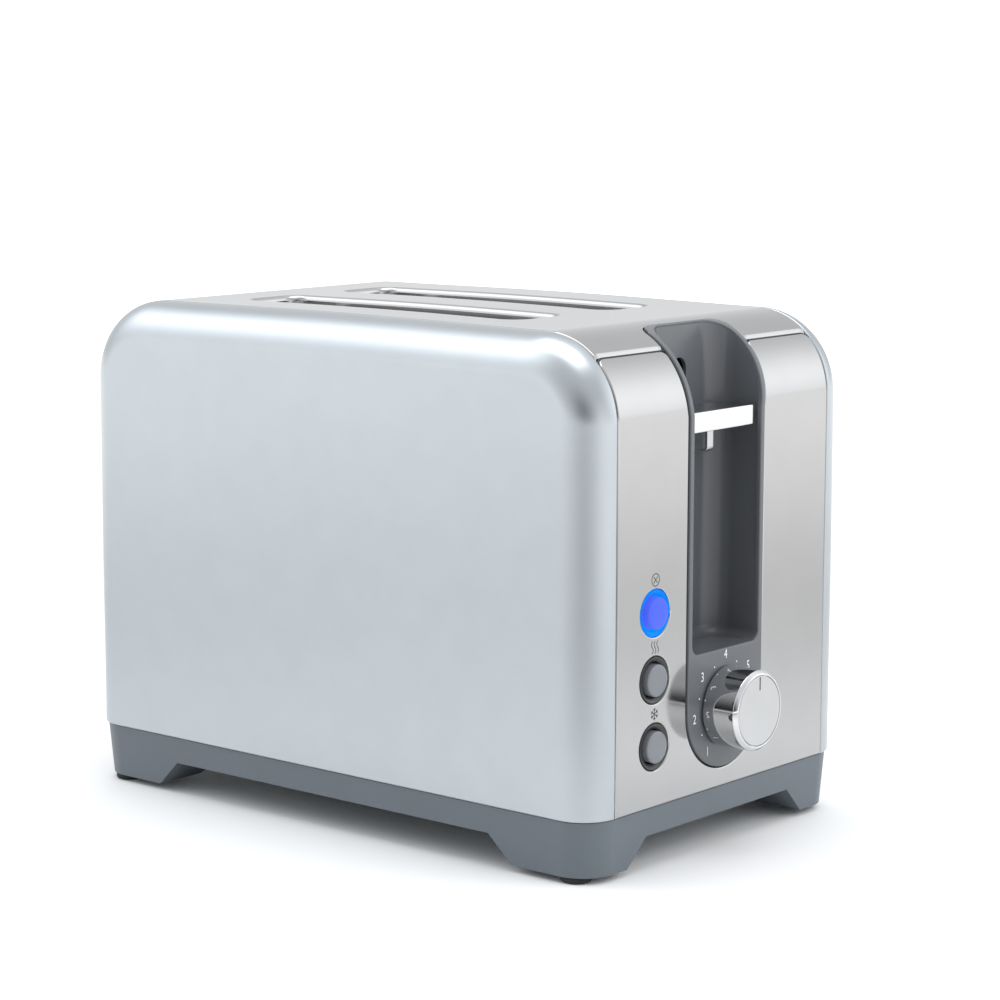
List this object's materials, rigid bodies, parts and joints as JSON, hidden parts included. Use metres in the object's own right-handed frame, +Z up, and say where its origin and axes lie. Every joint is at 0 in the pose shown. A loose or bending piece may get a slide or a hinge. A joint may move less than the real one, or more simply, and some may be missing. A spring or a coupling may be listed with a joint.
{
  "type": "pop up toaster",
  "caption": "Two-slot pop-up toaster with brushed steel side shells, a polished middle strip, a side lever in a trough, push buttons and a browning dial.",
  "frame": {"origin": "middle of the footprint, on the surface that the rubber feet stand on", "axes": "+X towards the control end with the lever and dial, +Y towards the far long side, +Z up"},
  "size_m": [0.2946, 0.17, 0.209],
  "materials": {
    "brushed_shell": "satin brushed",
    "polished_steel": "polished",
    "reflector_steel": "bright rolled",
    "zinc_steel": "zinc plated",
    "guard_wire": "plated wire",
    "chrome": "mirror",
    "satin_silver": "satin",
    "base_plastic": "fine matte",
    "bezel_plastic": "satin gloss",
    "ring_plastic": "satin",
    "button_plastic": "satin",
    "lit_ring": "translucent, lit from behind",
    "lit_cap": "translucent, lit from behind",
    "black_plastic": "matte",
    "coil": "wound coil",
    "circuit_board": "solder mask",
    "mica": "matte sheet",
    "rubber": "matte"
  },
  "bodies": {
    "housing": {"front_end_panel": "polished_steel", "rear_end_panel": "polished_steel", "top_panel": "polished_steel", "near_side_shell": "brushed_shell", "far_side_shell": "brushed_shell", "lever_bezel": "bezel_plastic", "base": "base_plastic", "front_plate": "zinc_steel", "rear_plate": "zinc_steel", "guide_bracket": "zinc_steel", "latch_magnet": "coil", "return_spring": "zinc_steel", "control_board": "circuit_board", "browning_control": "black_plastic", "cord_gland": "black_plastic", "terminal_block": "black_plastic", "near_reflector": "reflector_steel", "near_guide_rod": "chrome", "near_outer_heater": "mica", "near_inner_heater": "mica", "near_front_foot_pad": "rubber", "near_front_base_screw": "zinc_steel", "near_rear_foot_pad": "rubber", "near_rear_base_screw": "zinc_steel", "far_reflector": "reflector_steel", "far_guide_rod": "chrome", "far_outer_heater": "mica", "far_inner_heater": "mica", "far_front_foot_pad": "rubber", "far_front_base_screw": "zinc_steel", "far_rear_foot_pad": "rubber", "far_rear_base_screw": "zinc_steel", "cancel_button_ring": "lit_ring", "cancel_switch": "black_plastic", "reheat_button_ring": "ring_plastic", "reheat_switch": "black_plastic", "defrost_button_ring": "ring_plastic", "defrost_switch": "black_plastic"},
    "carriage": {"carriage": "zinc_steel", "lever_handle": "chrome", "latch_plate": "zinc_steel", "near_bread_lifter": "zinc_steel", "far_bread_lifter": "zinc_steel"},
    "crumb_tray": {"crumb_tray": "zinc_steel", "crumb_tray_front": "base_plastic"},
    "dial": {"dial_knob": "chrome", "dial_face": "satin_silver", "dial_shaft": "zinc_steel"},
    "near_outer_guard": {"near_outer_guard": "guard_wire"},
    "near_inner_guard": {"near_inner_guard": "guard_wire"},
    "far_outer_guard": {"far_outer_guard": "guard_wire"},
    "far_inner_guard": {"far_inner_guard": "guard_wire"},
    "cancel_button": {"cancel_button_cap": "lit_cap"},
    "reheat_button": {"reheat_button_cap": "button_plastic"},
    "defrost_button": {"defrost_button_cap": "button_plastic"}
  },
  "joints": [
    {"name": "carriage_slide", "type": "slide", "parent": "housing", "child": "carriage", "axis": [0, 0, 1], "range_m": [-0.074, 0.014], "stiffness_N_per_m": 80, "springref_m": 0.0238, "deforming": ["return_spring"]},
    {"name": "near_outer_guard_slide", "type": "slide", "parent": "housing", "child": "near_outer_guard", "axis": [0, 1, 0], "range_m": [-0.001, 0.0051]},
    {"name": "near_inner_guard_slide", "type": "slide", "parent": "housing", "child": "near_inner_guard", "axis": [0, -1, 0], "range_m": [-0.001, 0.0051]},
    {"name": "far_outer_guard_slide", "type": "slide", "parent": "housing", "child": "far_outer_guard", "axis": [0, -1, 0], "range_m": [-0.001, 0.0051]},
    {"name": "far_inner_guard_slide", "type": "slide", "parent": "housing", "child": "far_inner_guard", "axis": [0, 1, 0], "range_m": [-0.001, 0.0051]},
    {"name": "crumb_tray_slide", "type": "slide", "parent": "housing", "child": "crumb_tray", "axis": [-1, 0, 0], "range_m": [0, 0.19]},
    {"name": "cancel_button_press", "type": "slide", "parent": "housing", "child": "cancel_button", "axis": [-1, 0, 0], "range_m": [0, 0.0012], "stiffness_N_per_m": 200, "springref_m": -0.003},
    {"name": "reheat_button_press", "type": "slide", "parent": "housing", "child": "reheat_button", "axis": [-1, 0, 0], "range_m": [0, 0.0012], "stiffness_N_per_m": 200, "springref_m": -0.003},
    {"name": "defrost_button_press", "type": "slide", "parent": "housing", "child": "defrost_button", "axis": [-1, 0, 0], "range_m": [0, 0.0012], "stiffness_N_per_m": 200, "springref_m": -0.003},
    {"name": "dial_turn", "type": "hinge", "parent": "housing", "child": "dial", "pos_m": [0.13915, 0, 0.0575], "axis": [1, 0, 0], "range_deg": [-146, 146]}
  ],
  "couplings": [
    {"joint": "near_outer_guard_slide", "follows": "carriage_slide", "ratio": -0.06757},
    {"joint": "near_inner_guard_slide", "follows": "carriage_slide", "ratio": -0.06757},
    {"joint": "far_outer_guard_slide", "follows": "carriage_slide", "ratio": -0.06757},
    {"joint": "far_inner_guard_slide", "follows": "carriage_slide", "ratio": -0.06757}
  ]
}
